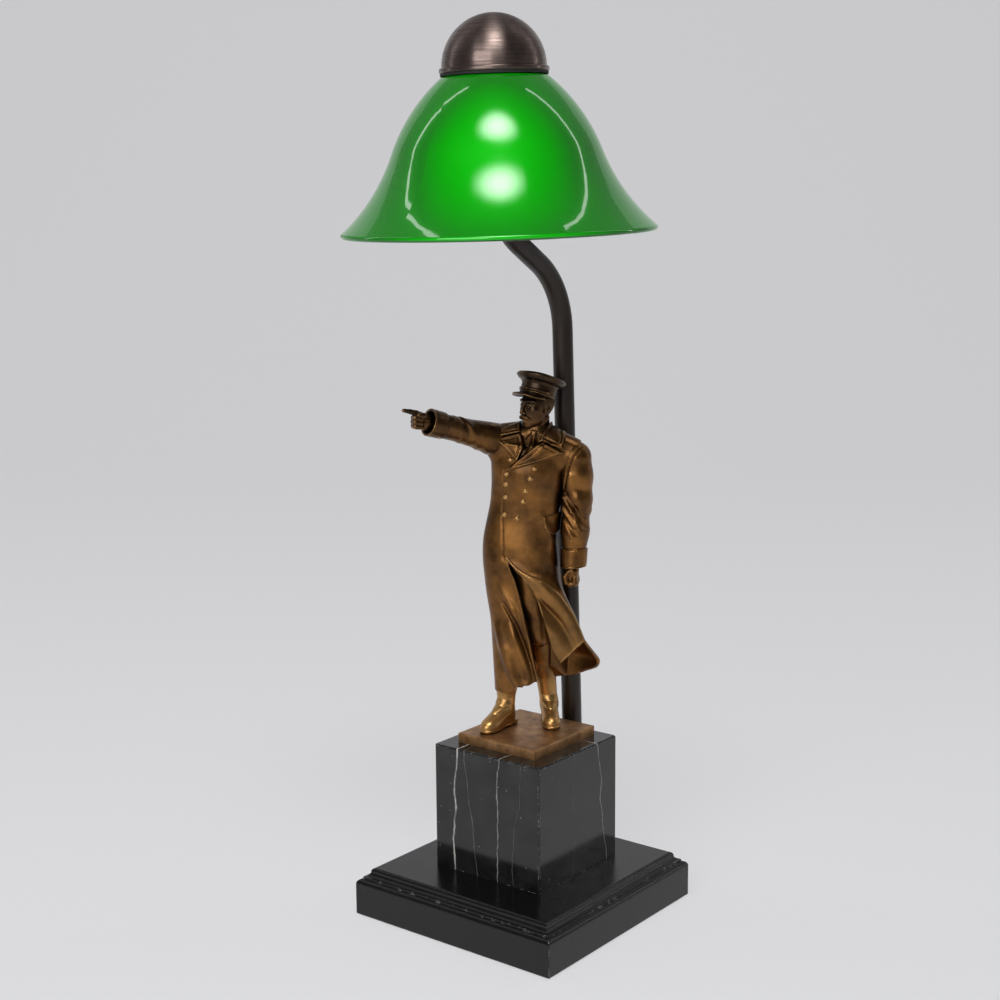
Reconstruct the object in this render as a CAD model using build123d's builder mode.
from build123d import *
import math
import os

# Figural table lamp. Millimetres, +Z up. The origin is the middle of the base's
# underside; -Y is the front, where the stem bends forward over the figure.

# ---- base ----
felt_thickness = 1.0
felt_inset = 1.5
plinth_width = 150.0
plinth_height = 29.0
plateau_width = 132.0
nose_radius = 2.2
cove_radius = 3.0
riser_height = 1.3
shoulder_radius = 3.3
pocket_length = 96.0
pocket_width = 44.0
pocket_back_wall = 3.0
pocket_centre_y = plinth_width / 2 - pocket_back_wall - pocket_length / 2
pocket_depth = 13.0
pocket_corner = 8.0
bush_bore = 5.6
bush_barrel = 8.0
bush_flange = 12.0
bush_flange_thickness = 1.6
bush_clearance = 0.1

# ---- marble block and the rod that ties plinth, block and plate together ----
block_width = 81.0
block_height = 78.7
block_edge = 0.8
block_y = 2.8
rod_diameter = 6.0
rod_hole = 7.0
rod_grip = 4.4
washer_thickness = 1.5
washer_diameter = 18.0
nut_width = 10.0
nut_height = 5.0
rod_tail = 1.5

# ---- bronze plate ----
plate_length = 63.0
plate_width = 59.5
plate_thickness = 5.9
plate_x = -0.9
plate_y = 4.7
plate_edge = 0.7
boot_screw_diameter = 4.0
boot_screw_head = 8.0
boot_screw_reach = 7.0
boot_screw_clearance = 0.1
boot_screw_back = 5.0

# ---- figure ----
figure_x = -5.0
figure_y = 15.0
figure_heading = 25.0
right_foot_spot = (-18.0, -12.8)
right_foot_turn = -23.0
left_foot_spot = (11.2, 4.2)
left_foot_turn = 16.0
boot_length = 34.0
boot_width = 12.0
sole_thickness = 2.2
instep_height = 13.0
ankle_back = 7.5
shaft_radius = 6.8
boot_welt = 0.8
hem_height = 26.5
tip_height = 44.0
knee_height = 66.0
seat_height = 88.0
hip_height = 115.0
shoulder_height = 181.0
waist_height = shoulder_height - 40.0
chest_height = shoulder_height - 18.0
collar_height = shoulder_height + 9.0
collar_radius = 8.5
coat_section_points = 10
armhole_right = 17.5
armhole_left = 21.0
right_armpit = shoulder_height - 13.0
left_armpit = shoulder_height - 31.0
armhole_cut = 40.0
neck_radius = 6.0
head_centre_height = collar_height + 13.0
head_depth = 21.6
head_height = 29.0
head_heading = -12.0
cap_tilt = 16.0
cap_sit = 5.5
cap_band_radius = 11.0
cap_band_height = 7.0
cap_crown_radius = 15.2
cap_crown_height = 5.0
visor_radius = 12.0
visor_thickness = 1.2
pointing_heading = -20.0
pointing_rise = 16.5
sleeve_radius = 9.5
elbow_radius = 7.8
cuff_radius = 8.8
sleeve_length = 54.0
# the hanging arm: how far out of its armhole and how far below the shoulder each place is
upper_arm_out = 7.0
upper_arm_drop = 8.0
elbow_out = 8.2
elbow_drop = 40.0
hanging_sleeve_radius = 8.5
wrist_out = 7.8
wrist_forward = 3.0
cuff_drop = 75.0
armhole_drop = 3.0
fist_radius = 5.4
finger_radius = 1.7
finger_length = 13.0

# ---- stem ----
stem_y = 55.0
stem_rake = 2.2
stem_diameter = 12.7
stem_bore = 10.0
lower_straight = 332.0
lower_bend_radius = 50.0
upper_bend_radius = 40.0
bend_angle = 57.0
stem_reach = 60.0
stem_top = 458.5
nipple_diameter = 9.9
nipple_bore = 7.0
nipple_grip = 14.0
thread_clearance = 0.05
loose_clearance = 0.3
stem_hole = 10.5

# ---- cluster, arm and lampholder ----
cluster_diameter = 20.0
cluster_height = 15.0
arm_diameter = 8.0
arm_bore = 6.0
arm_bend = 7.0
arm_drop = 1.0
cluster_chamfer = 1.2
mouth_chamfer = 1.5
cover_neck = 2.0
cover_crown = 2.0
holder_offset = 22.0
holder_diameter = 26.0
holder_cover_height = 9.0
holder_body_height = 19.0
holder_wall = 1.5
holder_mouth = 15.0
contact_thickness = 0.6
contact_height = 3.0
bulb_cap_diameter = 13.8
bulb_cap_length = 16.5
bulb_diameter = 24.0
bulb_length = 28.0
bulb_neck = 11.0
lead_diameter = 5.0

# ---- shade, its carrier and the cap ----
locknut_width = 17.0
base_nut_width = 16.0
locknut_height = 3.0
carrier_radius = 25.5
carrier_thickness = 1.5
carrier_collar = 20.2
collar_set_down = 0.4
slot_length = 11.0
slot_width = 5.0
gasket_inset = 0.5
gasket_set_out = 3.0
gasket_thickness = 1.5
glass_wall = 3.4
glass_hole = 21.0
waist_radius = 61.0
waist_angle = 20.8
flare_radius = 108.8
flare_angle = 28.3
crown_radius = 102.0
crown_angle = 29.4
top_edge_radius = 3.2
cap_radius = 30.2
cap_bead_radius = 31.6
cap_bead_height = 3.0
cap_wall = 1.2
boss_diameter = 16.0
boss_length = 13.0
solder_pad_radius = 9.5
nipple_short = 2.0
bead_round = 1.0
boss_chamfer = 0.8

# ---- places that follow from the sizes above ----
plinth_top = felt_thickness + plinth_height
block_top = plinth_top + block_height
plate_top = block_top + plate_thickness
pocket_ceiling = felt_thickness + pocket_depth

rake = math.radians(stem_rake)
stem_frame = Plane(
    origin=(0, stem_y, plinth_top),
    x_dir=(1, 0, 0),
    z_dir=(0, -math.sin(rake), math.cos(rake)),
)
shade_frame = Plane(
    origin=stem_frame.from_local_coords((0, -stem_reach, 0)),
    x_dir=stem_frame.x_dir,
    z_dir=stem_frame.z_dir,
)
# Side views in which x runs forward and y runs up the raked stem or shade axis.
stem_side = Plane(
    origin=stem_frame.origin, x_dir=-stem_frame.y_dir, z_dir=-stem_frame.x_dir
)
shade_side = Plane(
    origin=shade_frame.origin, x_dir=-shade_frame.y_dir, z_dir=-shade_frame.x_dir
)
shade_axis = Axis(shade_frame.origin, shade_frame.z_dir)


def heading_frame(x, y, z, heading):
    """Level frame whose -y axis faces the given heading, measured from -Y towards +X."""
    turn = math.radians(heading)
    return Plane(origin=(x, y, z), x_dir=(math.cos(turn), math.sin(turn), 0), z_dir=(0, 0, 1))


figure_frame = heading_frame(figure_x, figure_y, plate_top, figure_heading)
foot_frames = []
for foot_spot, turned_out in ((right_foot_spot, right_foot_turn), (left_foot_spot, left_foot_turn)):
    spot = figure_frame.from_local_coords((*foot_spot, 0))
    foot_frames.append(heading_frame(spot.X, spot.Y, plate_top, figure_heading + turned_out))


# ---------------------------------------------------------------- base
with BuildPart() as base_felt:
    with BuildSketch():
        Rectangle(plinth_width - 2 * felt_inset, plinth_width - 2 * felt_inset)
    extrude(amount=felt_thickness)
base_felt.part.label = "base_felt"


# The plinth's section: flat top, nose, cove, riser, shoulder, upright face.
with BuildLine() as plinth_outline:
    top = Line((0, plinth_top), (plateau_width / 2, plinth_top))
    nose = JernArc(top @ 1, (1, 0), nose_radius, -90)
    cove = JernArc(nose @ 1, (0, -1), cove_radius, 90)
    ledge_x = plinth_width / 2 - shoulder_radius
    ledge = Line(cove @ 1, (ledge_x, (cove @ 1).Y))
    riser = Line(ledge @ 1, (ledge_x, (ledge @ 1).Y - riser_height))
    shoulder = JernArc(riser @ 1, (1, 0), shoulder_radius, -90)
    face = Line(shoulder @ 1, (plinth_width / 2, felt_thickness))
    Line(face @ 1, (0, felt_thickness))
    mirror(about=Plane.YZ)

with BuildPart() as base_plinth:
    with BuildSketch(Plane.XZ):
        add(plinth_outline.line)
        make_face()
    extrude(amount=plinth_width / 2, both=True)
    with BuildSketch(Plane.YZ):
        add(plinth_outline.line)
        make_face()
    extrude(amount=plinth_width / 2, both=True, mode=Mode.INTERSECT)
    with BuildSketch(Plane.XY.offset(felt_thickness)):
        with Locations((0, pocket_centre_y)):
            RectangleRounded(pocket_width, pocket_length, pocket_corner)
    extrude(amount=pocket_depth, mode=Mode.SUBTRACT)
    with BuildSketch(Plane.XY.offset(pocket_ceiling)):
        with Locations((0, block_y)):
            Circle(rod_hole / 2)
    extrude(amount=plinth_height, mode=Mode.SUBTRACT)
    with BuildSketch(stem_frame.offset(-plinth_height)):
        Circle(stem_hole / 2)
    extrude(amount=plinth_height + stem_diameter, mode=Mode.SUBTRACT)
    bush_height = felt_thickness + pocket_depth / 2
    with BuildSketch(Plane.XZ.offset(-plinth_width / 2)):
        with Locations((0, bush_height)):
            Circle(bush_barrel / 2 + bush_clearance)
    extrude(amount=plinth_width / 2 - pocket_centre_y, mode=Mode.SUBTRACT)
base_plinth.part.label = "base_plinth"

with BuildPart() as cord_bush:
    with BuildSketch(Plane.XZ.offset(-plinth_width / 2)):
        with Locations((0, bush_height)):
            Circle(bush_barrel / 2)
    extrude(amount=pocket_back_wall)
    with BuildSketch(Plane.XZ.offset(-plinth_width / 2)):
        with Locations((0, bush_height)):
            Circle(bush_flange / 2)
    extrude(amount=-bush_flange_thickness)
    fillet(cord_bush.edges().sort_by(Axis.Y)[-1], bush_flange_thickness / 2)
    with BuildSketch(Plane.XZ.offset(-plinth_width / 2 - bush_flange_thickness)):
        with Locations((0, bush_height)):
            Circle(bush_bore / 2)
    extrude(amount=pocket_back_wall + 2 * bush_flange_thickness, mode=Mode.SUBTRACT)
cord_bush.part.label = "cord_bush"

with BuildPart() as marble_block:
    with BuildSketch(Plane.XY.offset(plinth_top)):
        with Locations((0, block_y)):
            Rectangle(block_width, block_width)
    extrude(amount=block_height)
    chamfer(marble_block.edges().filter_by(Axis.Z), block_edge)
    chamfer(marble_block.faces().sort_by(Axis.Z)[-1].edges(), block_edge)
    with BuildSketch(Plane.XY.offset(plinth_top)):
        with Locations((0, block_y)):
            Circle(rod_hole / 2)
    extrude(amount=block_height, mode=Mode.SUBTRACT)
marble_block.part.label = "marble_block"

# ---------------------------------------------------------------- tie rod
rod_plane = Plane(origin=(0, block_y, pocket_ceiling))
rod_bottom = -washer_thickness - nut_height - rod_tail
with BuildPart() as tie_rod:
    with BuildSketch(rod_plane.offset(rod_bottom)):
        Circle(rod_diameter / 2)
    extrude(amount=block_top + rod_grip - pocket_ceiling - rod_bottom)
    chamfer(tie_rod.edges().filter_by(GeomType.CIRCLE), rod_diameter / 10)
tie_rod.part.label = "tie_rod"

with BuildPart() as tie_washer:
    with BuildSketch(rod_plane):
        Circle(washer_diameter / 2)
        Circle(rod_diameter / 2 + thread_clearance, mode=Mode.SUBTRACT)
    extrude(amount=-washer_thickness)
tie_washer.part.label = "tie_washer"

with BuildPart() as tie_nut:
    with BuildSketch(rod_plane.offset(-washer_thickness)):
        RegularPolygon(nut_width / 2, 6, major_radius=False)
        Circle(rod_diameter / 2 + thread_clearance, mode=Mode.SUBTRACT)
    extrude(amount=-nut_height)
tie_nut.part.label = "tie_nut"

# ---------------------------------------------------------------- bronze plate and boots
screw_spots = []
for frame in foot_frames:
    spot = frame.from_local_coords((0, boot_screw_back, 0))
    screw_spots.append((spot.X, spot.Y))

with BuildPart() as figure_plate:
    with BuildSketch(Plane.XY.offset(block_top)):
        with Locations((plate_x, plate_y)):
            Rectangle(plate_width, plate_length)
    extrude(amount=plate_thickness)
    fillet(figure_plate.edges().filter_by(Axis.Z), plate_edge)
    fillet(figure_plate.faces().sort_by(Axis.Z)[-1].edges(), plate_edge)
    with BuildSketch(Plane.XY.offset(block_top)):
        with Locations((0, block_y)):
            Circle(rod_diameter / 2 + thread_clearance)
    extrude(amount=rod_grip + boot_screw_clearance, mode=Mode.SUBTRACT)
    with Locations(Plane.XY.offset(block_top)):
        with Locations(*screw_spots):
            with Locations(Location((0, 0, 0), (180, 0, 0))):
                CounterSinkHole(
                    boot_screw_diameter / 2 + boot_screw_clearance,
                    boot_screw_head / 2 + boot_screw_clearance,
                    plate_thickness,
                )
figure_plate.part.label = "figure_plate"

with BuildPart() as boot_screws:
    for spot in screw_spots:
        sink_depth = (boot_screw_head - boot_screw_diameter) / 2
        with BuildSketch(Plane.XY.offset(block_top)):
            with Locations(spot):
                Circle(boot_screw_head / 2)
        extrude(amount=sink_depth, taper=45)
        with BuildSketch(Plane.XY.offset(block_top)):
            with Locations(spot):
                Circle(boot_screw_diameter / 2)
        extrude(amount=plate_thickness + boot_screw_reach)
boot_screws.part.label = "boot_screws"

with BuildPart() as figure_boots:
    for frame in foot_frames:
        with BuildSketch(frame):
            SlotOverall(boot_length, boot_width, rotation=90)
        extrude(amount=sole_thickness)
        with BuildSketch(frame.offset(sole_thickness)):
            Ellipse(boot_width / 2 - boot_welt, boot_length / 2 - boot_welt)
        with BuildSketch(frame.offset(instep_height)):
            with Locations((0, ankle_back)):
                Ellipse(shaft_radius - 0.6, shaft_radius + 1.0)
        with BuildSketch(frame.offset(hem_height)):
            with Locations((0, ankle_back)):
                Ellipse(shaft_radius, shaft_radius + 0.5)
        loft()
    for spot in screw_spots:
        with BuildSketch(Plane.XY.offset(plate_top)):
            with Locations(spot):
                Circle(boot_screw_diameter / 2 + thread_clearance)
        extrude(amount=boot_screw_reach + boot_screw_clearance, mode=Mode.SUBTRACT)
figure_boots.part.label = "figure_boots"

# ---------------------------------------------------------------- coat
# Each level: height, sideways sway, half width, half depth, and how far the wind carries
# the open front panel out to the figure's left.
coat_levels = (
    (hem_height, 0.5, 23.0, 17.5, 17.0),
    (tip_height, 0.5, 23.5, 17.5, 29.0),
    (knee_height, -1.5, 23.2, 17.0, 14.0),
    (seat_height, -3.8, 24.0, 16.5, 5.0),
    (hip_height, -6.0, 23.8, 16.0, 0.0),
    (waist_height, -2.4, 21.2, 13.5, 0.0),
    (chest_height, -1.1, 22.8, 14.0, 0.0),
    (shoulder_height, 1.5, 22.5, 11.5, 0.0),
    (collar_height, 4.0, collar_radius, collar_radius, 0.0),
)
panel_angle = -25.0
panel_spread = 32.0


def coat_point(angle, sway, half_width, half_depth, blown):
    """Point of a coat section: an ellipse with the blown panel as a lobe."""
    turn = math.radians(angle)
    off = (angle - panel_angle + 180) % 360 - 180
    lobe = blown * math.exp(-((off / panel_spread) ** 2))
    lobe_turn = math.radians(panel_angle)
    return (
        sway + half_width * math.cos(turn) + lobe * math.cos(lobe_turn),
        half_depth * math.sin(turn) + lobe * math.sin(lobe_turn),
    )


with BuildPart() as figure_coat:
    for height, sway, half_width, half_depth, blown in coat_levels:
        with BuildSketch(figure_frame.offset(height)):
            with BuildLine():
                Spline(
                    *[
                        coat_point(360 * k / coat_section_points, sway, half_width, half_depth, blown)
                        for k in range(coat_section_points)
                    ],
                    periodic=True,
                )
            make_face()
    loft()
    # flat armholes, to which the arms are brazed
    for armpit, edge in ((right_armpit, -armhole_right), (left_armpit, armhole_left)):
        with BuildSketch(figure_frame.offset(armpit)):
            with Locations((edge + math.copysign(armhole_cut / 2, edge), 0)):
                Rectangle(armhole_cut, 2 * armhole_cut)
        extrude(amount=collar_height, mode=Mode.SUBTRACT)
figure_coat.part.label = "figure_coat"

# ---------------------------------------------------------------- head and cap
head_spot = figure_frame.from_local_coords((coat_levels[-1][1], 0, 0))
head_frame = heading_frame(head_spot.X, head_spot.Y, plate_top, head_heading)
cap_frame = Plane(
    origin=head_frame.from_local_coords((0, 1.0, head_centre_height + cap_sit)),
    x_dir=head_frame.x_dir,
    z_dir=head_frame.z_dir.rotate(Axis((0, 0, 0), head_frame.x_dir), -cap_tilt),
)
head_centre = head_frame.offset(head_centre_height).origin
with BuildPart() as figure_head:
    with BuildSketch(head_frame.offset(collar_height)):
        Circle(neck_radius)
    extrude(amount=head_centre_height - head_height / 4 - collar_height)
    with BuildSketch(Plane(origin=head_centre, x_dir=head_frame.y_dir, z_dir=head_frame.x_dir)):
        Ellipse(head_depth / 2, head_height / 2)
        with Locations((head_height, 0), (0, collar_height - head_centre_height - head_height)):
            Rectangle(2 * head_height, 2 * head_height, mode=Mode.SUBTRACT)
    revolve(axis=Axis(head_centre, head_frame.z_dir))
    split(bisect_by=cap_frame, keep=Keep.BOTTOM)
figure_head.part.label = "figure_head"

with BuildPart() as peaked_cap:
    with BuildSketch(cap_frame):
        Circle(cap_band_radius)
    extrude(amount=cap_band_height)
    with BuildSketch(cap_frame.offset(cap_band_height)):
        Circle(cap_band_radius)
    with BuildSketch(cap_frame.offset(cap_band_height + cap_crown_height / 2)):
        Circle(cap_crown_radius)
    loft()
    with BuildSketch(cap_frame.offset(cap_band_height + cap_crown_height / 2)):
        Circle(cap_crown_radius)
    extrude(amount=cap_crown_height / 2)
    fillet(peaked_cap.edges().sort_by(Axis(cap_frame.origin, cap_frame.z_dir))[-1], cap_crown_height / 4)
    with BuildSketch(cap_frame):
        with Locations((0, -cap_band_radius / 2)):
            Ellipse(cap_band_radius - 0.5, visor_radius)
        with Locations((0, cap_band_radius)):
            Rectangle(4 * cap_band_radius, 2 * cap_band_radius, mode=Mode.SUBTRACT)
    extrude(amount=visor_thickness)
peaked_cap.part.label = "peaked_cap"


# ---------------------------------------------------------------- pointing arm
point_turn = math.radians(pointing_heading)
point_rise = math.radians(pointing_rise)
pointing = Vector(
    math.sin(point_turn) * math.cos(point_rise),
    -math.cos(point_turn) * math.cos(point_rise),
    math.sin(point_rise),
)
right_shoulder = figure_frame.from_local_coords((-armhole_right, 0, shoulder_height - 1))
cuff_end = right_shoulder + pointing * sleeve_length
with BuildPart() as figure_arm_right:
    with BuildSketch(Plane(origin=right_shoulder, z_dir=-figure_frame.x_dir)):
        Circle(sleeve_radius)
    with BuildSketch(Plane(origin=right_shoulder + pointing * sleeve_length * 0.55, z_dir=pointing)):
        Circle(elbow_radius)
    with BuildSketch(Plane(origin=cuff_end, z_dir=pointing)):
        Circle(cuff_radius)
    loft()
    with BuildSketch(Plane(origin=cuff_end, z_dir=pointing)):
        Circle(fist_radius * 0.8)
    extrude(amount=fist_radius)
    with Locations(Location(cuff_end + pointing * (fist_radius + 1.5))):
        Sphere(fist_radius)
    finger_root = cuff_end + pointing * fist_radius + Vector(0, 0, fist_radius * 0.4)
    with BuildSketch(Plane(origin=finger_root, z_dir=pointing)):
        Circle(finger_radius)
    extrude(amount=finger_length)
figure_arm_right.part.label = "figure_arm_right"

# ---------------------------------------------------------------- hanging arm
down = Vector(0, 0, -1)


def arm_place(out, forward, drop):
    return figure_frame.from_local_coords((armhole_left + out, -forward, shoulder_height - drop))


left_shoulder = arm_place(0, 0, armhole_drop)
upper_arm = arm_place(upper_arm_out, 0, upper_arm_drop)
left_elbow = arm_place(elbow_out, 0, elbow_drop)
left_cuff = arm_place(wrist_out, wrist_forward, cuff_drop)
with BuildPart() as figure_arm_left:
    with BuildSketch(Plane(origin=left_shoulder, x_dir=figure_frame.y_dir, z_dir=figure_frame.x_dir)):
        Circle(elbow_radius)
    slope = (figure_frame.x_dir + down).normalized()
    with BuildSketch(Plane(origin=upper_arm, x_dir=figure_frame.y_dir, z_dir=slope)):
        Circle(cuff_radius)
    with BuildSketch(Plane(origin=left_elbow, x_dir=figure_frame.y_dir, z_dir=down)):
        Circle(hanging_sleeve_radius)
    with BuildSketch(Plane(origin=left_cuff, x_dir=figure_frame.y_dir, z_dir=down)):
        Circle(elbow_radius)
    loft()
    with BuildSketch(Plane(origin=left_cuff, z_dir=down)):
        Circle(fist_radius * 0.8)
    extrude(amount=fist_radius)
    with Locations(Location(left_cuff + down * (fist_radius + 1.5))):
        Sphere(fist_radius)
figure_arm_left.part.label = "figure_arm_left"

# ---------------------------------------------------------------- stem
with BuildLine(stem_side) as stem_path:
    rise = Line((0, 0), (0, lower_straight))
    lower_bend = JernArc(rise @ 1, (0, 1), lower_bend_radius, -bend_angle)
    bend_turn = math.radians(bend_angle)
    bends_reach = (lower_bend_radius + upper_bend_radius) * (1 - math.cos(bend_turn))
    slant = PolarLine(
        lower_bend @ 1, (stem_reach - bends_reach) / math.sin(bend_turn), direction=lower_bend % 1
    )
    upper_bend = JernArc(slant @ 1, slant % 1, upper_bend_radius, bend_angle)
    Line(upper_bend @ 1, (stem_reach, stem_top))

with BuildPart() as stem_tube:
    with BuildSketch(stem_frame):
        Circle(stem_diameter / 2)
        Circle(stem_bore / 2, mode=Mode.SUBTRACT)
    sweep(path=stem_path.wires()[0])
    # the raked tube's foot is cut level with the plinth's top
    with BuildSketch(Plane.XY.offset(plinth_top)):
        with Locations((0, stem_y)):
            Circle(2 * stem_diameter)
    extrude(amount=-stem_diameter, mode=Mode.SUBTRACT)
stem_tube.part.label = "stem_tube"

nipple_tail = washer_thickness + nut_height + rod_tail
pocket_along_stem = (plinth_top - pocket_ceiling) / math.cos(rake)
with BuildPart() as stem_nipple_lower:
    with BuildSketch(stem_frame.offset(-pocket_along_stem - nipple_tail)):
        Circle(nipple_diameter / 2)
        Circle(nipple_bore / 2, mode=Mode.SUBTRACT)
    extrude(amount=pocket_along_stem + nipple_tail + nipple_grip)
stem_nipple_lower.part.label = "stem_nipple_lower"

# The washer's upper face is level with the pocket's ceiling; its hole follows the rake.
stem_washer_y = stem_y + pocket_along_stem * math.sin(rake)
with BuildPart() as stem_washer:
    with BuildSketch(Plane.XY.offset(pocket_ceiling)):
        with Locations((0, stem_washer_y)):
            Circle(washer_diameter / 2)
            Circle(nipple_diameter / 2 + loose_clearance, mode=Mode.SUBTRACT)
    extrude(amount=-washer_thickness)
stem_washer.part.label = "stem_washer"

with BuildPart() as stem_locknut:
    with BuildSketch(Plane.XY.offset(pocket_ceiling - washer_thickness)):
        with Locations((0, stem_washer_y)):
            RegularPolygon(base_nut_width / 2, 6, major_radius=False)
            Circle(nipple_diameter / 2 + loose_clearance, mode=Mode.SUBTRACT)
    extrude(amount=-nut_height)
stem_locknut.part.label = "stem_locknut"

# ---------------------------------------------------------------- shade carrier stack
cluster_top = stem_top + cluster_height
locknut_top = cluster_top + locknut_height
carrier_top = locknut_top + carrier_thickness
glass_flat_under = carrier_top + gasket_thickness
glass_flat_top = glass_flat_under + glass_wall
cap_seat = glass_flat_top + gasket_thickness
cap_centre = cap_seat + cap_bead_height
pad_height = cap_centre + math.sqrt((cap_radius - cap_wall) ** 2 - solder_pad_radius**2)
boss_bottom = pad_height - boss_length
nipple_end = pad_height - nipple_short

with BuildPart() as stem_nipple_upper:
    with BuildSketch(shade_frame.offset(stem_top - nipple_grip)):
        Circle(nipple_diameter / 2)
        Circle(nipple_bore / 2, mode=Mode.SUBTRACT)
    extrude(amount=nipple_end - stem_top + nipple_grip)
    # wire window inside the cluster, towards the arm
    with BuildSketch(shade_side):
        with Locations((nipple_diameter / 2, stem_top + cluster_height / 2)):
            Rectangle(nipple_diameter, arm_bore)
    extrude(amount=arm_bore / 2, both=True, mode=Mode.SUBTRACT)
stem_nipple_upper.part.label = "stem_nipple_upper"

arm_height = stem_top + cluster_height / 2
with BuildPart() as cluster_body:
    with BuildSketch(shade_frame.offset(stem_top)):
        Circle(cluster_diameter / 2)
    extrude(amount=cluster_height)
    chamfer(cluster_body.edges().filter_by(GeomType.CIRCLE), cluster_chamfer)
    with BuildSketch(shade_frame.offset(stem_top)):
        Circle(nipple_diameter / 2 + thread_clearance)
    extrude(amount=cluster_height, mode=Mode.SUBTRACT)
    arm_socket = Plane(
        origin=shade_frame.from_local_coords((0, 0, arm_height)),
        x_dir=shade_frame.x_dir,
        z_dir=-shade_frame.y_dir,
    )
    with BuildSketch(arm_socket):
        Circle(arm_diameter / 2 + thread_clearance)
    extrude(amount=cluster_diameter, mode=Mode.SUBTRACT)
cluster_body.part.label = "cluster_body"

# The elbow starts inside the cluster, just clear of the nipple, and turns down.
arm_start = nipple_diameter / 2 + loose_clearance
holder_top = arm_height - arm_bend - arm_drop
with BuildLine(shade_side) as arm_path:
    arm_run = Line((arm_start, arm_height), (holder_offset - arm_bend, arm_height))
    arm_turn = JernArc(arm_run @ 1, (1, 0), arm_bend, -90)
    Line(arm_turn @ 1, (holder_offset, holder_top))
with BuildPart() as holder_arm:
    with BuildSketch(arm_socket.offset(arm_start)):
        Circle(arm_diameter / 2)
        Circle(arm_bore / 2, mode=Mode.SUBTRACT)
    sweep(path=arm_path.wires()[0])
holder_arm.part.label = "holder_arm"

holder_frame = Plane(
    origin=shade_frame.from_local_coords((0, -holder_offset, 0)),
    x_dir=shade_frame.x_dir,
    z_dir=shade_frame.z_dir,
)
cover_bottom = holder_top - holder_cover_height
with BuildPart() as lampholder_cover:
    with BuildSketch(holder_frame.offset(cover_bottom)):
        Circle(holder_diameter / 2)
    with BuildSketch(holder_frame.offset(holder_top)):
        Circle(arm_diameter / 2 + cover_neck)
    loft()
    with BuildSketch(holder_frame.offset(cover_bottom)):
        Circle(holder_diameter / 2 - holder_wall)
    with BuildSketch(holder_frame.offset(holder_top - cover_crown)):
        Circle(arm_bore / 2)
    loft(mode=Mode.SUBTRACT)
    with BuildSketch(holder_frame.offset(holder_top - 2 * cover_crown)):
        Circle(arm_bore / 2)
    extrude(amount=3 * cover_crown, mode=Mode.SUBTRACT)
lampholder_cover.part.label = "lampholder_cover"

body_bottom = cover_bottom - holder_body_height
contact_floor = cover_bottom - holder_wall
with BuildPart() as lampholder_body:
    with BuildSketch(holder_frame.offset(body_bottom)):
        Circle(holder_diameter / 2)
    extrude(amount=holder_body_height)
    chamfer(lampholder_body.edges().sort_by(shade_axis)[0], mouth_chamfer)
    with BuildSketch(holder_frame.offset(body_bottom)):
        Circle(holder_mouth / 2)
    extrude(amount=contact_floor - body_bottom, mode=Mode.SUBTRACT)
lampholder_body.part.label = "lampholder_body"

with BuildPart() as lampholder_contact:
    with BuildSketch(holder_frame.offset(contact_floor)):
        Circle(holder_mouth / 4)
    extrude(amount=-contact_thickness)
lampholder_contact.part.label = "lampholder_contact"

bulb_cap_top = contact_floor - contact_thickness
with BuildPart() as bulb_cap:
    with BuildSketch(holder_frame.offset(bulb_cap_top)):
        Circle(bulb_cap_diameter / 4)
    with BuildSketch(holder_frame.offset(bulb_cap_top - contact_height)):
        Circle(bulb_cap_diameter / 2)
    loft()
    with BuildSketch(holder_frame.offset(bulb_cap_top - contact_height)):
        Circle(bulb_cap_diameter / 2)
    extrude(amount=-(bulb_cap_length - contact_height))
bulb_cap.part.label = "bulb_cap"

bulb_start = bulb_cap_top - bulb_cap_length
bulb_round = bulb_diameter / 2
with BuildPart() as bulb_glass:
    with BuildSketch(Plane(origin=holder_frame.origin, x_dir=-shade_frame.y_dir,
                           z_dir=-shade_frame.x_dir)):
        with BuildLine():
            centre_top = Line((0, bulb_start), (bulb_neck / 2, bulb_start))
            shoulder_end = (bulb_round, bulb_start - bulb_round)
            Spline(
                centre_top @ 1, shoulder_end, tangents=((0, -1), (0, -1)), tangent_scalars=(0.6, 0.9)
            )
            barrel = Line(shoulder_end, (bulb_round, bulb_start - bulb_length + bulb_round))
            JernArc(barrel @ 1, (0, -1), bulb_round, -90)
            Line((0, bulb_start - bulb_length), (0, bulb_start))
        make_face()
    revolve(axis=Axis(holder_frame.origin, holder_frame.z_dir))
bulb_glass.part.label = "bulb_glass"

with BuildPart() as carrier_locknut:
    with BuildSketch(shade_frame.offset(cluster_top)):
        RegularPolygon(locknut_width / 2, 6, major_radius=False)
        Circle(nipple_diameter / 2 + thread_clearance, mode=Mode.SUBTRACT)
    extrude(amount=locknut_height)
carrier_locknut.part.label = "carrier_locknut"

with BuildPart() as shade_carrier:
    with BuildSketch(shade_frame.offset(locknut_top)):
        Circle(carrier_radius)
    extrude(amount=carrier_thickness)
    with BuildSketch(shade_frame.offset(carrier_top)):
        Circle(carrier_collar)
        Circle(carrier_collar - carrier_thickness, mode=Mode.SUBTRACT)
    extrude(amount=gasket_thickness + glass_wall - collar_set_down)
    with BuildSketch(shade_frame.offset(locknut_top)):
        Circle(nipple_diameter / 2 + thread_clearance)
        with PolarLocations(carrier_collar * 0.66, 3, start_angle=60):
            SlotOverall(slot_length, slot_width, rotation=90)
    extrude(amount=carrier_thickness, mode=Mode.SUBTRACT)
shade_carrier.part.label = "shade_carrier"

with BuildPart() as gasket_lower:
    with BuildSketch(shade_frame.offset(carrier_top)):
        Circle(carrier_radius - gasket_inset)
        Circle(glass_hole, mode=Mode.SUBTRACT)
    extrude(amount=gasket_thickness)
gasket_lower.part.label = "gasket_lower"


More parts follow.
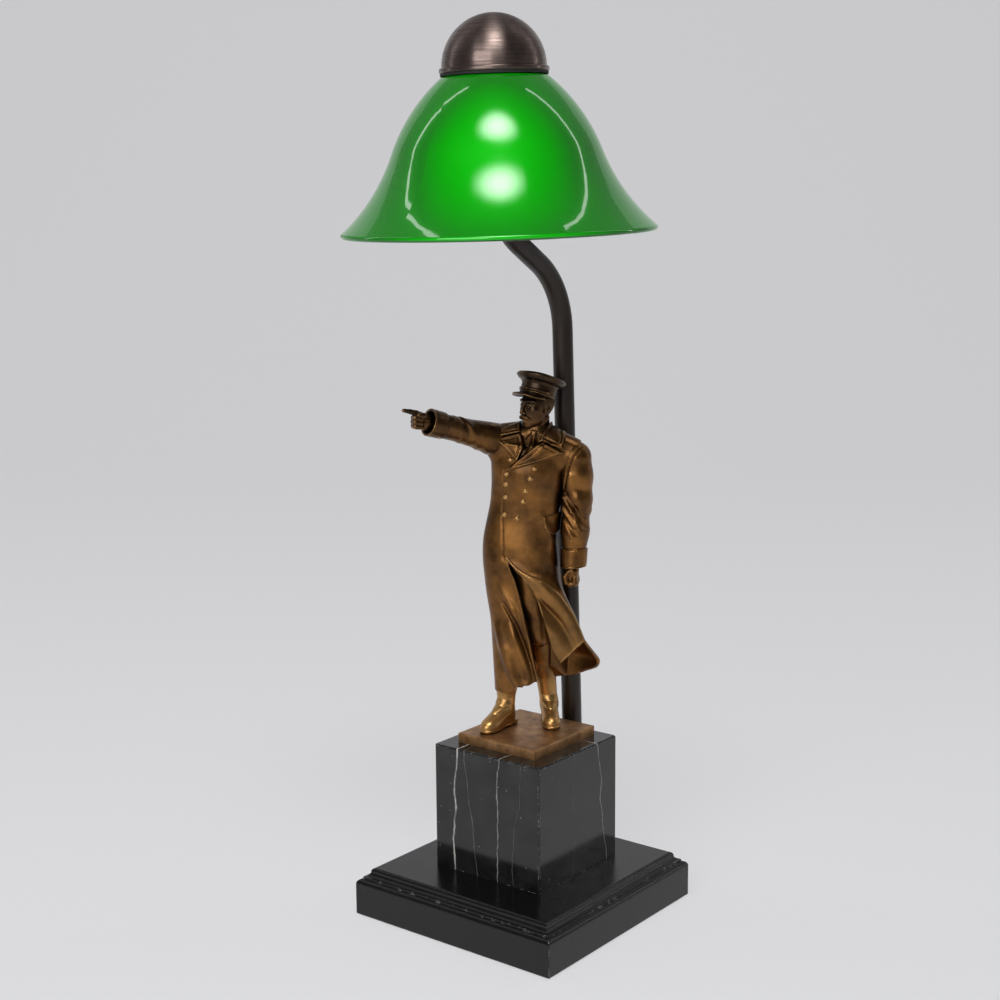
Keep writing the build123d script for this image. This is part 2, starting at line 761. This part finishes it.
# The bell's waist, where the hollow flare turns into the round crown, hangs this far
# below the flat top.
crown_end = math.radians(waist_angle + crown_angle)
waist_turn = math.radians(waist_angle)
crown_rise = crown_radius * (math.sin(crown_end) - math.sin(waist_turn)) + top_edge_radius * (
    1 - math.sin(crown_end)
)
waist_height_up = glass_flat_top - crown_rise


def shade_wall(setback, up):
    """Start, tangent, radius and turn of the bell's meridian above or below its waist."""
    start = (
        waist_radius - setback * math.cos(waist_turn),
        waist_height_up - setback * math.sin(waist_turn),
    )
    if up:
        return start, (-math.sin(waist_turn), math.cos(waist_turn)), crown_radius - setback, crown_angle
    return start, (math.sin(waist_turn), -math.cos(waist_turn)), flare_radius + setback, flare_angle


with BuildPart() as glass_shade:
    with BuildSketch(shade_side):
        with BuildLine():
            outer_crown = JernArc(*shade_wall(0, True))
            edge_turn = 90 - waist_angle - crown_angle
            top_edge = JernArc(outer_crown @ 1, outer_crown % 1, top_edge_radius, edge_turn)
            top_flat = Line(top_edge @ 1, (glass_hole, (top_edge @ 1).Y))
            hole = Line(top_flat @ 1, (glass_hole, (top_edge @ 1).Y - glass_wall))
            inner_crown = JernArc(*shade_wall(glass_wall, True), mode=Mode.PRIVATE)
            under_flat = Line(hole @ 1, ((inner_crown @ 1).X - 2.0, (hole @ 1).Y))
            Spline(
                under_flat @ 1,
                inner_crown @ 1,
                tangents=((1, 0), -(inner_crown % 1)),
                tangent_scalars=(0.8, 0.8),
            )
            add(inner_crown)
            inner_flare = JernArc(*shade_wall(glass_wall, False))
            outer_flare = JernArc(*shade_wall(0, False))
            lip = ThreePointArc(
                inner_flare @ 1,
                (inner_flare @ 1 + outer_flare @ 1) * 0.5 + (outer_flare % 1) * (glass_wall / 2),
                outer_flare @ 1,
            )
        make_face()
    revolve(axis=shade_axis)
glass_shade.part.label = "glass_shade"

with BuildPart() as gasket_upper:
    with BuildSketch(shade_frame.offset(glass_flat_top)):
        Circle(cap_bead_radius - gasket_inset)
        Circle(glass_hole + gasket_set_out, mode=Mode.SUBTRACT)
    extrude(amount=gasket_thickness)
gasket_upper.part.label = "gasket_upper"

with BuildPart() as dome_cap:
    with BuildSketch(shade_side):
        with BuildLine():
            inner = cap_radius - cap_wall
            bead = Line((inner, cap_seat), (cap_bead_radius - bead_round, cap_seat))
            bead_low = JernArc(bead @ 1, (1, 0), bead_round, 90)
            bead_side = Line(bead_low @ 1, (cap_bead_radius, cap_centre - bead_round))
            bead_top = JernArc(bead_side @ 1, (0, 1), bead_round, 90)
            step = Line(bead_top @ 1, (cap_radius, cap_centre))
            dome = JernArc(step @ 1, (0, 1), cap_radius, 90)
            crown = Line(dome @ 1, (0, pad_height))
            pad = Line(crown @ 1, (solder_pad_radius, pad_height))
            pad_angle = math.degrees(math.acos(solder_pad_radius / inner))
            dome_inner = CenterArc((0, cap_centre), inner, pad_angle, -pad_angle)
            Line((inner, cap_centre), (inner, cap_seat))
        make_face()
    revolve(axis=shade_axis)
dome_cap.part.label = "dome_cap"

with BuildPart() as cap_boss:
    with BuildSketch(shade_frame.offset(boss_bottom)):
        Circle(boss_diameter / 2)
        Circle(nipple_diameter / 2 + thread_clearance, mode=Mode.SUBTRACT)
    extrude(amount=boss_length)
    chamfer(cap_boss.edges().sort_by(shade_axis)[0], boss_chamfer)
cap_boss.part.label = "cap_boss"

# ---------------------------------------------------------------- inner lead
# From the plinth's pocket up the stem's bore to just under the cluster's wire window.
lead_start = -pocket_along_stem - nipple_tail + 1.0
with BuildLine(stem_side) as lead_path:
    lead_rise = Line((0, lead_start), (0, lower_straight))
    lead_lower = JernArc(lead_rise @ 1, (0, 1), lower_bend_radius, -bend_angle)
    lead_slant = PolarLine(lead_lower @ 1, slant.length, direction=lead_lower % 1)
    lead_upper = JernArc(lead_slant @ 1, lead_slant % 1, upper_bend_radius, bend_angle)
    Line(lead_upper @ 1, (stem_reach, arm_height))
with BuildPart() as inner_lead:
    with BuildSketch(stem_frame.offset(lead_start)):
        Circle(lead_diameter / 2)
    sweep(path=lead_path.wires()[0])
inner_lead.part.label = "inner_lead"

pieces = (
    base_felt,
    base_plinth,
    cord_bush,
    marble_block,
    tie_rod,
    tie_washer,
    tie_nut,
    figure_plate,
    boot_screws,
    figure_boots,
    figure_coat,
    figure_head,
    peaked_cap,
    figure_arm_right,
    figure_arm_left,
    stem_tube,
    stem_nipple_lower,
    stem_washer,
    stem_locknut,
    stem_nipple_upper,
    cluster_body,
    holder_arm,
    lampholder_cover,
    lampholder_body,
    lampholder_contact,
    bulb_cap,
    bulb_glass,
    inner_lead,
    carrier_locknut,
    shade_carrier,
    gasket_lower,
    glass_shade,
    gasket_upper,
    dome_cap,
    cap_boss,
)
os.makedirs("parts", exist_ok=True)
for piece in pieces:
    export_step(piece.part, f"parts/{piece.part.label}.step")
print(f"{len(pieces)} pieces; glass flat {glass_flat_top:.2f}, cap seat {cap_seat:.2f}")
